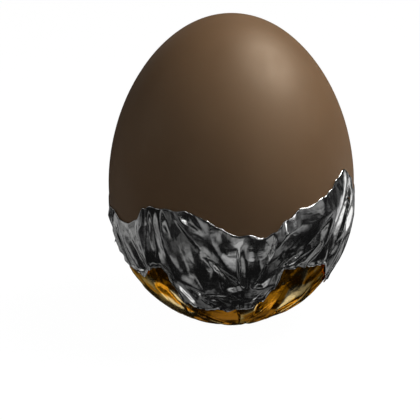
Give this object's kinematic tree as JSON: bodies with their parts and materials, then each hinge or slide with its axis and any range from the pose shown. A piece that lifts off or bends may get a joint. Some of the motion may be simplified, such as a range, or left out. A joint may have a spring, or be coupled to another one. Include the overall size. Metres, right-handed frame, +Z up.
{
  "type": "chocolate egg",
  "caption": "Smooth milk chocolate egg standing on its broad end, half unwrapped from a crumpled foil that is gold outside and silver where it is turned back down.",
  "frame": {"origin": "middle of the flat foot that the wrapped egg stands on", "axes": "+Z up along the egg's long axis, from the broad end to the narrow end; -Y towards the shown front; +X to the viewer's right"},
  "size_m": [0.0465, 0.0465, 0.0571],
  "materials": {
    "chocolate": "smooth moulded milk chocolate, soft uneven satin gloss",
    "foil": "crumpled thin aluminium foil, bare silver inside, gold lacquer outside"
  },
  "bodies": {
    "root": {"chocolate_egg": "chocolate", "foil_wrapper": "foil"}
  },
  "joints": []
}
